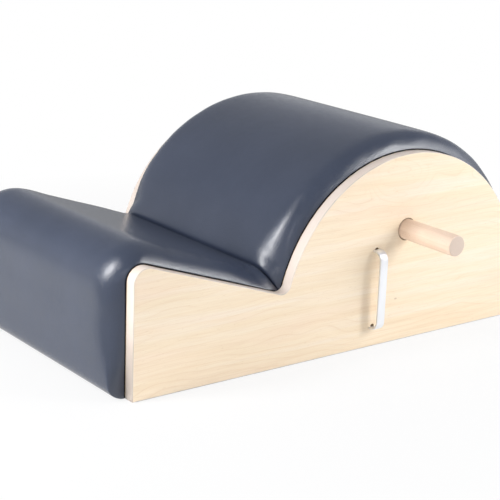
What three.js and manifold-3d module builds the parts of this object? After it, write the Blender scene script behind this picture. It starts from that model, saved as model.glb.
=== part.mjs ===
// A pilates spine corrector: a sloping padded seat that runs into a padded barrel, held between
// two plywood sides, with a wooden hand peg and a bow handle on each side.
// Lengths are in millimetres. X runs from the seat's low front to the barrel's back, Y across
// the body and Z up. The origin is on the floor, under the middle of the object.
import * as THREE from "three";
import { mergeVertices } from "three/addons/utils/BufferGeometryUtils.js";
import Module from "manifold-3d";

const wasm = await Module();
wasm.setup();

// Outline of the sides. x starts at their front edge and z at the floor.
const bodyWidth = 490;
const frontHeight = 217.4;
const frontCornerRadius = 24;
const barrelRadius = 262.3;
const barrelCentreX = 546.5;
const barrelCentreZ = 63.7;
const valleyRadius = 16;
const seatSlope = THREE.MathUtils.degToRad(18.52);

// Boards
const panelThickness = 20;
const ribThickness = 15;
const deckThickness = 12;
const coreLift = 6;
const stripThickness = 1.3;
const stripWidth = 14;
const stripInset = 8;

// Cross rails
const railThickness = 30;
const railHeight = 60;
const slabWidth = 50;
const slabHeight = 30;

// Padding and its cover
const padDepth = 29.2;
const coverThickness = 1.2;
const padHem = 3;
const sideRoll = 39;
const pinchInset = 12;
const pinchRoll = 8;
const pinchReach = 70;
const creaseRoll = 5;
const padCornerGrowthShare = 1.38;
const rollPower = 1.7;
const pinchPower = 2;

// Hand peg, measured down from the barrel's crown, and its socket
const pegDiameter = 35;
const pegReach = 118.4;
const pegSeat = 60;
const pegOffset = 6.8;
const pegDrop = 129.4;
const pegRound = 2.5;
const pegClearance = 0.5;
const pegHoleClearance = 1;
const socketWidth = 90;
const socketFloor = 8;

// Bow handle, in front of the peg and measured up from the floor
const handleFromPeg = 65;
const handleRise = 33.1;
const handleHeight = 138;
const handleWidth = 16;
const handleReach = 21;
const handleStrip = 5;
const handleBend = 9;
const handleScrewRadius = 1.8;
const handleScrewHeadRadius = 3.8;
const handleScrewHeadHeight = 2.8;
const handleScrewGrip = 9;
const handleHoleRadius = 3.4;
const handleHoleShift = 1;
const washerRadius = 6;
const washerThickness = 1;

// Bolts that hold each side to the core, with a threaded insert in the side
const boltRadius = 3;
const boltHeadRadius = 6.5;
const boltHeadHeight = 4;
const boltGrip = 11;
const boltInset = 48;
const boltBehindRail = 24;
const boltUnderCorner = 24;
const boltAngle = THREE.MathUtils.degToRad(41.5);
const insertRadius = 5.2;
const insertDepth = 13;

// Screws that hold each rail to the ribs
const screwRadius = 2.2;
const screwHeadRadius = 4.4;
const screwHeadHeight = 3;
const screwGrip = 30;

// Clearance between neighbours, and how far a cut runs past what it cuts
const fit = 0.3;
const overrun = 2;

// Corners nearer than this are one corner
const weldDistance = 0.0001;

// Counts of facets
const roundSides = 12;
const pegSides = 24;
const rollSteps = 5;
const sectionSteps = 6;
const padCornerSteps = 6;
const padBarrelSteps = 27;
const panelStep = THREE.MathUtils.degToRad(3);
const smallStep = THREE.MathUtils.degToRad(12);
const bendSteps = 5;
const pegRoundSteps = 3;

// Places that follow from these sizes
const slopeTan = Math.tan(seatSlope);
const slopeCos = Math.cos(seatSlope);
const slopeSin = Math.sin(seatSlope);
const slopeNormalAngle = Math.PI / 2 - seatSlope;
const panelBase = stripThickness + fit;
const innerFace = bodyWidth / 2 - panelThickness;
const outerFace = bodyWidth / 2;
const ribOuter = innerFace - fit;
const ribInner = ribOuter - ribThickness;
const railEnd = ribInner - fit;
const backX = barrelCentreX + barrelRadius;
const ribOffset = -(deckThickness + fit);
const pegX = barrelCentreX - pegOffset;
const pegZ = barrelCentreZ + barrelRadius - pegDrop;
const pegPlace = [pegX, pegZ];
const pegRadius = pegDiameter / 2;
const pegInnerY = outerFace - pegSeat;
const handleX = pegX - handleFromPeg;
const handleTop = handleRise + handleHeight;

const mix = (a, b, share) => a + (b - a) * share;
const shares = (count) => Array.from({ length: count + 1 }, (_, i) => i / count);

// Seat line, moved out by h: its height at x
const seatLineZ = (x, h) => frontHeight - x * slopeTan + h / slopeCos;

// Where the seat line and the barrel's circle meet, both moved out by h
function valley(h) {
  const rise = seatLineZ(0, h) - barrelCentreZ;
  const a = 1 + slopeTan ** 2;
  const b = -2 * (barrelCentreX + slopeTan * rise);
  const c = barrelCentreX ** 2 + rise ** 2 - (barrelRadius + h) ** 2;
  const x = (-b - Math.sqrt(b * b - 4 * a * c)) / (2 * a);
  return [x, seatLineZ(x, h)];
}

// Centre of the front corner's round, for the outline moved out by h
function cornerCentre(h, radius) {
  const x = radius - h;
  return [x, seatLineZ(x, h) - radius / slopeCos];
}

const onCircle = ([x, z], radius, angle) => [
  x + radius * Math.cos(angle),
  z + radius * Math.sin(angle),
];

function arc(centre, radius, from, to, step) {
  const count = Math.ceil(Math.abs(to - from) / step);
  return shares(count).map((share) => onCircle(centre, radius, mix(from, to, share)));
}

const barrelCentre = [barrelCentreX, barrelCentreZ];
const angleFromBarrel = ([x, z]) => Math.atan2(z - barrelCentreZ, x - barrelCentreX);

// Outline of a side panel, with round corners
function panelOutline() {
  const valleyCentre = valley(valleyRadius);
  const toBarrel = angleFromBarrel(valleyCentre);
  return [
    [0, panelBase],
    ...arc(
      cornerCentre(0, frontCornerRadius),
      frontCornerRadius,
      Math.PI,
      slopeNormalAngle,
      smallStep,
    ),
    ...arc(
      valleyCentre,
      valleyRadius,
      slopeNormalAngle + Math.PI,
      toBarrel + Math.PI,
      smallStep,
    ),
    ...arc(barrelCentre, barrelRadius, toBarrel, 0, panelStep),
    [backX, panelBase],
  ];
}

// Stations along the seat and along the barrel, for padding whose skin lies wall inside the
// cover's. at(h) is the point h outside the decks, rise is the padding's height there, and
// pinch grows to 1 at the crease, where the two pads squeeze each other.
const cornerRadiusAt = (h) =>
  frontCornerRadius + h * (h > 0 ? padCornerGrowthShare : 1);
const quarter = (count) => shares(count).map((share) => (share * Math.PI) / 2);
const creaseDistances = [
  0,
  creaseRoll / 2,
  creaseRoll,
  pinchReach / 4,
  pinchReach / 2,
  pinchReach,
];
const pinchAt = (distance) => Math.max(0, 1 - distance / pinchReach) ** pinchPower;

function creaseRise(distance, wall) {
  const into = Math.max(0, 1 - distance / creaseRoll);
  return padDepth - wall - creaseRoll * (1 - Math.sqrt(1 - into ** 2));
}

// The pads' free ends roll down to the sides' foot at x = edge(h)
const rollStations = (edge, wall) =>
  quarter(rollSteps).map((angle) => ({
    rise: Math.max(padHem - wall, (padDepth - wall) * Math.sin(angle)),
    pinch: 0,
    at: (h) => [
      edge(h),
      panelBase + padDepth - (padDepth - wall) * Math.cos(angle),
    ],
  }));

function seatPath(wall) {
  const corner = shares(padCornerSteps).map((share) => ({
    rise: padDepth - wall,
    pinch: 0,
    at: (h) => {
      const radius = cornerRadiusAt(h);
      const angle = mix(Math.PI, slopeNormalAngle, share);
      return onCircle(cornerCentre(h, radius), radius, angle);
    },
  }));
  const slope = [...creaseDistances].reverse().map((distance) => ({
    rise: creaseRise(distance, wall),
    pinch: pinchAt(distance),
    at: (h) => {
      const [x, z] = valley(h);
      const back = distance + fit + wall;
      return [x - back * slopeCos, z + back * slopeSin];
    },
  }));
  return [...rollStations((h) => -h, wall), ...corner, ...slope];
}

function barrelPath(wall) {
  const angleAt = (h, distance) =>
    angleFromBarrel(valley(h)) - (distance + fit + wall) / (barrelRadius + h);
  const onBarrel = (angle) => (h) =>
    onCircle(barrelCentre, barrelRadius + h, angle(h));
  const crease = creaseDistances.map((distance) => ({
    rise: creaseRise(distance, wall),
    pinch: pinchAt(distance),
    at: onBarrel((h) => angleAt(h, distance)),
  }));
  const round = shares(padBarrelSteps)
    .slice(1)
    .map((share) => ({
      rise: padDepth - wall,
      pinch: 0,
      at: onBarrel((h) => mix(angleAt(h, pinchReach), 0, share)),
    }));
  return [...crease, ...round, ...rollStations((h) => backX + h, wall).reverse()];
}

const rollCount = rollSteps + 1;
const seatLine = seatPath(0);
const barrelLine = barrelPath(0);

// Closed meshes as solids that can be cut, and back
function solid(geometry) {
  const plain = geometry.clone();
  plain.deleteAttribute("normal");
  plain.deleteAttribute("uv");
  const merged = mergeVertices(plain, weldDistance);
  return new wasm.Manifold(
    new wasm.Mesh({
      numProp: 3,
      vertProperties: new Float32Array(merged.attributes.position.array),
      triVerts: new Uint32Array(merged.index.array),
    }),
  );
}

function geometryOf(body) {
  const { vertProperties, triVerts } = body.getMesh();
  const geometry = new THREE.BufferGeometry();
  geometry.setAttribute("position", new THREE.BufferAttribute(vertProperties, 3));
  geometry.setIndex(new THREE.BufferAttribute(triVerts, 1));
  const faceted = geometry.toNonIndexed();
  faceted.computeVertexNormals();
  return faceted;
}

const cut = (geometry, tools) =>
  geometryOf(tools.reduce((body, tool) => body.subtract(solid(tool)), solid(geometry)));

// A board: an outline in the XZ plane, from y0 to y1
function board(outline, y0, y1) {
  const shape = new THREE.Shape(outline.map(([x, z]) => new THREE.Vector2(x, z)));
  const geometry = new THREE.ExtrudeGeometry(shape, {
    depth: y1 - y0,
    bevelEnabled: false,
  });
  return geometry.rotateX(Math.PI / 2).translate(0, y1, 0);
}

// A block between two corners
function block([x0, y0, z0], [x1, y1, z1]) {
  const geometry = new THREE.BoxGeometry(x1 - x0, y1 - y0, z1 - z0);
  return geometry.translate((x0 + x1) / 2, (y0 + y1) / 2, (z0 + z1) / 2);
}

// A turned piece about Y. Its profile is a list of radius and height.
function turned(profile, sides) {
  const points = profile.map(([radius, y]) => new THREE.Vector2(radius, y));
  return new THREE.LatheGeometry(points, sides);
}

// A straight bore along Y about (x, z)
const bore = (radius, y0, y1, [x, z], sides = roundSides) =>
  new THREE.CylinderGeometry(radius, radius, y1 - y0, sides).translate(
    x,
    (y0 + y1) / 2,
    z,
  );

// A screw about Y: its head starts at zero and its shank points along +Y
const screwShape = (headRadius, headHeight, shankRadius, length) =>
  turned(
    [
      [0, 0],
      [headRadius, 0],
      [headRadius, headHeight],
      [shankRadius, headHeight],
      [shankRadius, headHeight + length],
      [0, headHeight + length],
    ],
    roundSides,
  );

const ringShape = (innerRadius, outerRadius, thickness) =>
  turned(
    [
      [innerRadius, 0],
      [outerRadius, 0],
      [outerRadius, thickness],
      [innerRadius, thickness],
      [innerRadius, 0],
    ],
    roundSides,
  );

// A block of padding along a path. Its section has a flat middle and rolls down at both sides.
// An open one has straight sides below, down to an overrun under the deck's face.
function padding(makePath, wall, open) {
  const power = 2 / rollPower;
  const rings = makePath(wall).map(({ rise, pinch, at }) => {
    const edge = innerFace - fit - wall - pinch * pinchInset;
    const roll = sideRoll + pinch * pinchRoll;
    const half = quarter(sectionSteps).map((angle) => [
      edge - roll * (1 - Math.max(0, Math.cos(angle)) ** power),
      mix(fit, rise, Math.sin(angle) ** power),
    ]);
    if (open) half.unshift([edge, -overrun]);
    const place = ([y, h]) => {
      const [x, z] = at(h);
      return [x, y, z];
    };
    return [
      ...half.map(place),
      ...half.reverse().map(([y, h]) => place([-y, h])),
    ];
  });
  const around = rings[0].length;
  const faces = [];
  rings.slice(1).forEach((_, i) => {
    for (let j = 0; j < around; j += 1) {
      const next = (j + 1) % around;
      const a = i * around + j;
      const b = i * around + next;
      faces.push(a, b, a + around, b, b + around, a + around);
    }
  });
  const last = (rings.length - 1) * around;
  for (let j = 0; j < around / 2 - 1; j += 1) {
    const a = j;
    const b = j + 1;
    const c = around - 2 - j;
    const d = around - 1 - j;
    faces.push(a, c, b, a, d, c);
    faces.push(last + a, last + b, last + c, last + a, last + c, last + d);
  }
  const geometry = new THREE.BufferGeometry();
  const positions = new Float32Array(rings.flat(2));
  geometry.setAttribute("position", new THREE.BufferAttribute(positions, 3));
  geometry.setIndex(faces);
  return geometry;
}

// Finishes
const finish = (color, roughness, metalness = 0) =>
  new THREE.MeshStandardMaterial({ color, roughness, metalness });
const maple = finish(0xf6e4c8, 0.45);
const plywood = finish(0xd9bd92, 0.7);
const beech = finish(0xf0d8bd, 0.5);
const leather = finish(0x5a6070, 0.4);
const foam = finish(0xf2e8b8, 0.95);
const aluminium = finish(0xe9e9ea, 0.3, 0.9);
const steel = finish(0xb8babd, 0.35, 0.9);
const brass = finish(0xc9a24d, 0.35, 0.9);
const rubber = finish(0xc9c7bf, 0.85);

function piece(name, geometry, material, x = 0, y = 0, z = 0) {
  const mesh = new THREE.Mesh(geometry, material);
  mesh.name = name;
  mesh.position.set(x, y, z);
  return mesh;
}

// Cross rails, each as its lowest and highest corner in X and Z
const valleyInside = valley(ribOffset);
const crownHalf = slabWidth / 2;
const crownTop =
  barrelCentreZ + Math.sqrt((barrelRadius + ribOffset - fit) ** 2 - crownHalf ** 2);
const rails = {
  front_rail: [
    [deckThickness + fit, coreLift],
    [deckThickness + fit + railThickness, coreLift + railHeight],
  ],
  valley_rail: [
    [valleyInside[0] - crownHalf, valleyInside[1] - fit - slabHeight],
    [valleyInside[0] + crownHalf, valleyInside[1] - fit],
  ],
  crown_rail: [
    [barrelCentreX - crownHalf, crownTop - slabHeight],
    [barrelCentreX + crownHalf, crownTop],
  ],
  back_rail: [
    [backX - deckThickness - fit - railThickness, coreLift],
    [backX - deckThickness - fit, coreLift + railHeight],
  ],
};
const middleOf = ([[x0, z0], [x1, z1]]) => [(x0 + x1) / 2, (z0 + z1) / 2];
const railNames = Object.keys(rails);

// Places of the bolts in the sides
const frontClear = deckThickness + railThickness;
const railMiddle = coreLift + railHeight / 2;
const boltPlaces = [
  [frontClear + boltBehindRail, railMiddle],
  [boltInset, cornerCentre(0, frontCornerRadius)[1] - boltUnderCorner],
  onCircle(barrelCentre, barrelRadius - boltInset, boltAngle),
  [backX - frontClear - boltBehindRail, railMiddle],
];

const handleHoles = [
  handleTop - handleStrip / 2,
  handleTop - handleHeight + handleStrip / 2,
].map((z) => [handleX, z]);

// Core: ribs, decks, rails and padding
const ribOutline = [
  [-ribOffset, coreLift],
  ...seatLine.slice(rollCount, -1).map(({ at }) => at(ribOffset)),
  valleyInside,
  ...barrelLine.slice(1, -rollCount).map(({ at }) => at(ribOffset)),
  [backX + ribOffset, coreLift],
];

function centreRib() {
  const half = ribThickness / 2;
  const slots = railNames.map((name) => {
    const [[x0, z0], [x1, z1]] = rails[name];
    const low = z0 === coreLift ? z0 - overrun : z0 - fit;
    const high = z0 === coreLift ? z1 + fit : z1 + deckThickness;
    return block(
      [x0 - fit, -half - overrun, low],
      [x1 + fit, half + overrun, high],
    );
  });
  return cut(board(ribOutline, -half, half), slots);
}

function rail(name) {
  const [[x0, z0], [x1, z1]] = rails[name];
  const beam = block([x0, -railEnd, z0], [x1, railEnd, z1]);
  const pilots = [
    [-railEnd - overrun, -railEnd + screwGrip + fit],
    [railEnd - screwGrip - fit, railEnd + overrun],
  ].map(([y0, y1]) => bore(screwRadius + fit, y0, y1, middleOf(rails[name])));
  return cut(beam, pilots);
}

const deckBand = (path) => [
  ...path.map(({ at }) => at(0)),
  ...[...path].reverse().map(({ at }) => at(-deckThickness)),
];

function core() {
  const group = new THREE.Group();
  const cornerLine = seatLine.slice(rollCount, rollCount + padCornerSteps + 1);
  const cornerStart = cornerCentre(0, frontCornerRadius)[1];
  const seatEnds = [cornerLine.at(-1), seatLine.at(-1)];
  const forward = ([x, z]) => [x + fit * slopeCos, z - fit * slopeSin];
  const seatBand = [
    forward(seatEnds[0].at(0)),
    seatEnds[1].at(0),
    seatEnds[1].at(-deckThickness),
    forward(seatEnds[0].at(-deckThickness)),
  ];
  const barrelBand = deckBand([
    ...barrelLine.slice(0, -rollCount),
    { at: (h) => [backX + h, coreLift] },
  ]);
  group.add(
    piece("centre_rib", centreRib(), plywood),
    ...railNames.map((name) => piece(name, rail(name), beech)),
    piece(
      "front_board",
      block([0, -ribOuter, coreLift], [deckThickness, ribOuter, cornerStart - fit]),
      plywood,
    ),
    piece("corner_nosing", board(deckBand(cornerLine), -ribOuter, ribOuter), beech),
    piece("seat_deck", board(seatBand, -ribOuter, ribOuter), plywood),
    piece("barrel_deck", board(barrelBand, -ribOuter, ribOuter), plywood),
  );
  for (const [name, makePath] of [
    ["seat", seatPath],
    ["barrel", barrelPath],
  ]) {
    const hollow = padding(makePath, coverThickness, true);
    group.add(
      piece(`${name}_foam`, padding(makePath, coverThickness + fit, false), foam),
      piece(`${name}_cover`, cut(padding(makePath, 0, false), [hollow]), leather),
    );
  }
  return group;
}

// One side, with +Y pointing outwards: the panel and all that is fixed to it
function side(hand) {
  const group = new THREE.Group();
  const rib = cut(board(ribOutline, ribInner, ribOuter), [
    bore(pegRadius + pegClearance, ribInner - overrun, ribOuter + overrun, pegPlace, pegSides),
    ...handleHoles.map((place) =>
      bore(handleScrewRadius + fit, ribInner - overrun, ribOuter + overrun, place),
    ),
    ...boltPlaces.map((place) =>
      bore(boltRadius + fit, ribInner - overrun, ribOuter + overrun, place),
    ),
    ...railNames.flatMap((name) => {
      const place = middleOf(rails[name]);
      return [
        bore(screwRadius + fit, ribInner - overrun, ribOuter + overrun, place),
        bore(screwHeadRadius + fit, ribOuter - screwHeadHeight - fit, ribOuter + overrun, place),
      ];
    }),
  ]);
  const panel = cut(board(panelOutline(), innerFace, outerFace), [
    bore(
      pegRadius + pegHoleClearance,
      innerFace - overrun,
      outerFace + overrun,
      pegPlace,
      pegSides,
    ),
    ...handleHoles.map(([x, z]) =>
      bore(handleHoleRadius, innerFace - overrun, outerFace + overrun, [x, z + handleHoleShift]),
    ),
    ...boltPlaces.map((place) =>
      bore(insertRadius + fit, innerFace - overrun, innerFace + insertDepth + fit, place),
    ),
  ]);
  group.add(
    piece(`side_panel_${hand}`, panel, maple),
    piece(`inner_rib_${hand}`, rib, plywood),
    piece(
      `base_strip_${hand}`,
      block(
        [stripInset, -stripWidth / 2, 0],
        [backX - stripInset, stripWidth / 2, stripThickness],
      ),
      rubber,
      0,
      outerFace - panelThickness / 2,
      0,
    ),
    ...pegPieces(hand),
    ...handlePieces(hand),
    ...fixings(hand),
  );
  return group;
}

function pegPieces(hand) {
  const length = pegSeat + pegReach;
  const rounded = shares(pegRoundSteps).map((share) => {
    const angle = (share * Math.PI) / 2;
    return [
      pegRadius - pegRound * (1 - Math.cos(angle)),
      length - pegRound * (1 - Math.sin(angle)),
    ];
  });
  const peg = turned([[0, 0], [pegRadius, 0], ...rounded, [0, length]], pegSides);
  const socketOuter = ribInner - fit;
  const socketInner = pegInnerY - fit - socketFloor;
  const half = socketWidth / 2;
  const socket = cut(
    block(
      [pegX - half, socketInner, pegZ - half],
      [pegX + half, socketOuter, pegZ + half],
    ),
    [
      bore(
        pegRadius + pegClearance,
        pegInnerY - fit,
        socketOuter + overrun,
        pegPlace,
        pegSides,
      ),
    ],
  );
  return [
    piece(`hand_peg_${hand}`, peg, beech, pegX, pegInnerY, pegZ),
    piece(`peg_socket_${hand}`, socket, plywood),
  ];
}

// Bow handle: one flat strip, bent out from the panel at both ends
function handleShape() {
  const reach = handleReach - fit;
  const half = handleHeight / 2;
  const inner = handleBend - handleStrip;
  const bend = (y, z, radius, from, to) => arc([y, z], radius, from, to, Math.PI / 2 / bendSteps);
  const outline = [
    [0, half],
    ...bend(reach - handleBend, half - handleBend, handleBend, Math.PI / 2, 0),
    ...bend(reach - handleBend, handleBend - half, handleBend, 0, -Math.PI / 2),
    [0, -half],
    [0, handleStrip - half],
    ...bend(reach - handleBend, handleBend - half, inner, -Math.PI / 2, 0),
    ...bend(reach - handleBend, half - handleBend, inner, 0, Math.PI / 2),
    [0, half - handleStrip],
  ];
  const shape = new THREE.Shape(outline.map(([y, z]) => new THREE.Vector2(y, z)));
  const strip = new THREE.ExtrudeGeometry(shape, {
    depth: handleWidth,
    bevelEnabled: false,
  });
  // The outline's first axis becomes Y and its second Z, with the width along X.
  strip.rotateX(Math.PI / 2).rotateZ(Math.PI / 2).translate(-handleWidth / 2, 0, 0);
  const holes = [half - handleStrip / 2, handleStrip / 2 - half].map((z) =>
    bore(handleScrewRadius + fit, -overrun, handleScrewGrip, [0, z]),
  );
  return cut(strip, holes);
}

function handlePieces(hand) {
  const washerY = ribInner - fit - washerThickness;
  const headY = washerY - fit - handleScrewHeadHeight;
  const length = outerFace + handleScrewGrip - washerY;
  const middleZ = handleTop - handleHeight / 2;
  return [
    piece(`pull_handle_${hand}`, handleShape(), aluminium, handleX, outerFace + fit, middleZ),
    ...handleHoles.flatMap(([x, z], i) => {
      const end = i === 0 ? "upper" : "lower";
      const screw = screwShape(
        handleScrewHeadRadius,
        handleScrewHeadHeight,
        handleScrewRadius,
        length,
      );
      const washer = ringShape(handleScrewRadius + fit, washerRadius, washerThickness);
      return [
        piece(`handle_screw_${hand}_${end}`, screw, steel, x, headY, z),
        piece(`handle_washer_${hand}_${end}`, washer, steel, x, washerY, z),
      ];
    }),
  ];
}

function fixings(hand) {
  const boltHeadY = ribInner - fit - boltHeadHeight;
  const boltLength = innerFace + boltGrip - ribInner;
  return [
    ...boltPlaces.flatMap(([x, z], i) => [
      piece(
        `side_bolt_${hand}_${i + 1}`,
        screwShape(boltHeadRadius, boltHeadHeight, boltRadius, boltLength),
        steel,
        x,
        boltHeadY,
        z,
      ),
      piece(
        `bolt_insert_${hand}_${i + 1}`,
        ringShape(boltRadius + fit, insertRadius, insertDepth),
        brass,
        x,
        innerFace,
        z,
      ),
    ]),
    ...railNames.map((name) => {
      const [x, z] = middleOf(rails[name]);
      const screw = screwShape(
        screwHeadRadius,
        screwHeadHeight,
        screwRadius,
        ribOuter - screwHeadHeight - railEnd + screwGrip,
      ).rotateX(Math.PI);
      return piece(`${name}_screw_${hand}`, screw, steel, x, ribOuter, z);
    }),
  ];
}

const leftSide = side("left");
const rightSide = side("right");
rightSide.scale.y = -1;

const body = new THREE.Group();
body.position.x = -backX / 2;
body.add(core(), leftSide, rightSide);

const spineCorrector = new THREE.Group();
spineCorrector.add(body);

export default spineCorrector;
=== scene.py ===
# %% [markdown]
# Dressing a pilates spine corrector
#
# The object is a low padded step that runs into a high padded barrel, held between two
# plywood sides. Its construction comes packed as a fixed frame: every board, rail, screw and
# pad is there as a plain solid at its real size. This lesson gives each of them its looks.
# All lengths here are in metres, +Z is up, +X runs from the step to the barrel.

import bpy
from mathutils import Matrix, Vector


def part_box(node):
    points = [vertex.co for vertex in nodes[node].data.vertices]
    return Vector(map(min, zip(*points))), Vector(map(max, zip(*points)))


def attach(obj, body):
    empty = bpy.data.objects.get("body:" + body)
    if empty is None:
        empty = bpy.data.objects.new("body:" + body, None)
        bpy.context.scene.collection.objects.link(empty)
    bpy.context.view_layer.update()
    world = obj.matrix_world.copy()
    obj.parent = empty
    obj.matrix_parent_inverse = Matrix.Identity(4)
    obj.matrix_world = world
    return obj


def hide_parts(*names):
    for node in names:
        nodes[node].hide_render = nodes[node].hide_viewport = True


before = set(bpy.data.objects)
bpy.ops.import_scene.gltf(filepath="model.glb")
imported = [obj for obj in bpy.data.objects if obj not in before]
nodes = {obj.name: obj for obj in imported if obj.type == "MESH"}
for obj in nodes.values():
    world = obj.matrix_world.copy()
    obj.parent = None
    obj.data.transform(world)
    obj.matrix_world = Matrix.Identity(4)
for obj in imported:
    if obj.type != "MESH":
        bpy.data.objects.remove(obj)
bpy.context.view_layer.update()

# %% [markdown]
# Sizes of the outline
#
# The two sides and the pads all follow one outline: a seat line that slopes down and one
# barrel arc. Its few numbers are written once, and everything curved is worked out from them.

# %% Sizes
import math

import bmesh
import bpy
import numpy as np
from mathutils import Matrix, Vector

LENGTH = 0.8088
FRONT_HEIGHT = 0.2174
CORNER_RADIUS = 0.024
BARREL_RADIUS = 0.2623
BARREL_X = 0.5465
BARREL_Z = 0.0637
VALLEY_RADIUS = 0.016
SLOPE = math.radians(18.52)
BASE = 0.0016
OUTER_FACE = 0.245
INNER_FACE = 0.225
PAD_DEPTH = 0.0292
SIDE_ROLL = 0.0365
ROLL_POWER = 2.5
TAN, COS, SIN = math.tan(SLOPE), math.cos(SLOPE), math.sin(SLOPE)
SLOPE_NORMAL = math.pi / 2 - SLOPE


def seat_height(x, h=0.0):
    """Height of the seat line at x, moved out by h."""
    return FRONT_HEIGHT - x * TAN + h / COS


def valley(h=0.0):
    """Where the seat line meets the barrel's arc, both moved out by h."""
    rise = seat_height(0, h) - BARREL_Z
    a = 1 + TAN**2
    b = -2 * (BARREL_X + TAN * rise)
    c = BARREL_X**2 + rise**2 - (BARREL_RADIUS + h) ** 2
    x = (-b - math.sqrt(b * b - 4 * a * c)) / (2 * a)
    return x, seat_height(x, h)


def corner_centre(h, radius):
    """Centre of the front corner's round."""
    x = radius - h
    return x, seat_height(x, h) - radius / COS


def on_circle(centre, radius, angle):
    """A point of a circle. Angles run against the clock from +X."""
    return centre[0] + radius * math.cos(angle), centre[1] + radius * math.sin(angle)


def barrel_angle(point):
    return math.atan2(point[1] - BARREL_Z, point[0] - BARREL_X)


def arc(centre, radius, start, end, steps):
    return [on_circle(centre, radius, start + (end - start) * i / steps) for i in range(steps + 1)]


print("valley", [round(v, 4) for v in valley()])

# %% [markdown]
# Camera
#
# The camera stands where the photograph was taken from: low, in front of the step's corner,
# with a long lens, and rolled by two degrees. Its three axes are worked out from the azimuth,
# the elevation and the roll, and go straight into its matrix. A small helper, which every
# later piece uses too, puts new data into the scene as an object. The shift of half a pixel
# makes up for a photograph whose pixels are counted from their middles.

# %% Camera
CAMERA_PLACE = Vector((-1.512253, -1.955259, 0.84085))
AZIMUTH, ELEVATION, ROLL = (math.radians(v) for v in (-37.649, 16.339, 2.193))
LENS = 105.364
HALF_PIXEL = 0.5 / 500


def aim(azimuth, elevation, roll):
    """Camera axes as columns: right, up and back."""
    back = Vector((
        math.sin(azimuth) * math.cos(elevation),
        -math.cos(azimuth) * math.cos(elevation),
        math.sin(elevation),
    ))
    right = Vector((math.cos(azimuth), math.sin(azimuth), 0))
    up = back.cross(right)
    turned_right = right * math.cos(roll) + up * math.sin(roll)
    turned_up = up * math.cos(roll) - right * math.sin(roll)
    return Matrix((turned_right, turned_up, back)).transposed()


def placed(name, data):
    """A new object in the scene, at the origin, with this mesh, lamp or camera."""
    made = bpy.data.objects.new(name, data)
    bpy.context.scene.collection.objects.link(made)
    return made


camera_data = bpy.data.cameras.new("studio_camera")
camera_data.lens = LENS
camera_data.sensor_width = 36
camera_data.clip_start, camera_data.clip_end = 0.05, 60
camera_data.shift_x, camera_data.shift_y = -HALF_PIXEL, HALF_PIXEL
camera = placed("studio_camera", camera_data)
camera.matrix_world = Matrix.Translation(CAMERA_PLACE) @ aim(AZIMUTH, ELEVATION, ROLL).to_4x4()
bpy.context.scene.camera = camera
print("camera", [round(v, 3) for v in CAMERA_PLACE], "lens", round(camera_data.lens, 1))

# %% [markdown]
# A short way to write materials
#
# A procedural material is a graph of nodes. A few small helpers keep each graph readable: they
# add a node and wire its inputs, do a sum, turn a value into a colour, lay one colour over
# another, stretch a noise along the grain, and put the finished colour on the shader.


# %% Material helpers
def srgb(*channels):
    """A colour as a painter would read it off a screen, 0 to 255, made linear."""
    linear = [(c / 255 / 12.92) if c <= 10 else ((c / 255 + 0.055) / 1.055) ** 2.4 for c in channels]
    return (*linear, 1.0)


def new_material(name):
    material = bpy.data.materials.new(name)
    material.use_nodes = True
    return material, material.node_tree, material.node_tree.nodes["Principled BSDF"]


def add(tree, kind, inputs=None, **settings):
    """Adds a node. Inputs may be values or the sockets of other nodes."""
    made = tree.nodes.new(kind)
    for key, value in settings.items():
        setattr(made, key, value)
    for key, value in (inputs or {}).items():
        socket = made.inputs[key]
        if isinstance(value, bpy.types.NodeSocket):
            tree.links.new(value, socket)
        else:
            socket.default_value = value
    return made


def sums(tree, operation, a, b=0.5, c=0.0):
    return add(tree, "ShaderNodeMath", {0: a, 1: b, 2: c}, operation=operation).outputs[0]


def times(tree, a, b):
    return sums(tree, "MULTIPLY", a, b)


def less(tree, a, b):
    return sums(tree, "SUBTRACT", a, b)


def in_steps(tree, value, step):
    """Grows from 0 to 1 within each step of a value, and then starts again."""
    return sums(tree, "FRACT", sums(tree, "DIVIDE", value, step))


def squares(tree, a, b):
    """Two squares, added up. The root of it is a distance."""
    return sums(tree, "ADD", sums(tree, "POWER", a, 2.0), sums(tree, "POWER", b, 2.0))


def shade(tree, value, stops, interpolation="LINEAR"):
    """A colour ramp. Stops are a place from 0 to 1 and a colour or a grey."""
    made = add(tree, "ShaderNodeValToRGB", {"Fac": value})
    made.color_ramp.interpolation = interpolation
    elements = made.color_ramp.elements
    while len(elements) < len(stops):
        elements.new(1.0)
    for element, (position, colour) in zip(elements, stops):
        element.position = position
        element.color = colour if hasattr(colour, "__len__") else (colour,) * 3 + (1.0,)
    return made.outputs["Color"]


def layer(tree, factor, under, over):
    """One colour over another, as thick as the factor says."""
    return add(tree, "ShaderNodeMix", {"Factor": factor, 6: under, 7: over}, data_type="RGBA").outputs[2]


def marked(tree, colour, pattern, stops, strength, tint):
    """The colour with a tint where the ramp makes the pattern bright."""
    return layer(tree, times(tree, shade(tree, pattern, stops), strength), colour, tint)


def place(tree):
    """The point's own place on the object, in metres, and its three parts."""
    whole = add(tree, "ShaderNodeTexCoord").outputs["Object"]
    parts = add(tree, "ShaderNodeSeparateXYZ", {0: whole})
    return whole, parts.outputs[0], parts.outputs[1], parts.outputs[2]


def noise(tree, vector, scale, detail=2.0, rough=0.5):
    inputs = {"Vector": vector, "Scale": scale, "Detail": detail, "Roughness": rough}
    return add(tree, "ShaderNodeTexNoise", inputs).outputs["Fac"]


def grained(tree, vector, size, detail=2.0, rough=0.5, moved=(0, 0, 0)):
    """Noise on a place divided by a size on each axis, so that its grain is that long on each."""
    inputs = {"Vector": vector, "Location": moved, "Scale": [1 / s for s in size]}
    return noise(tree, add(tree, "ShaderNodeMapping", inputs).outputs[0], 1.0, detail, rough)


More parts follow.
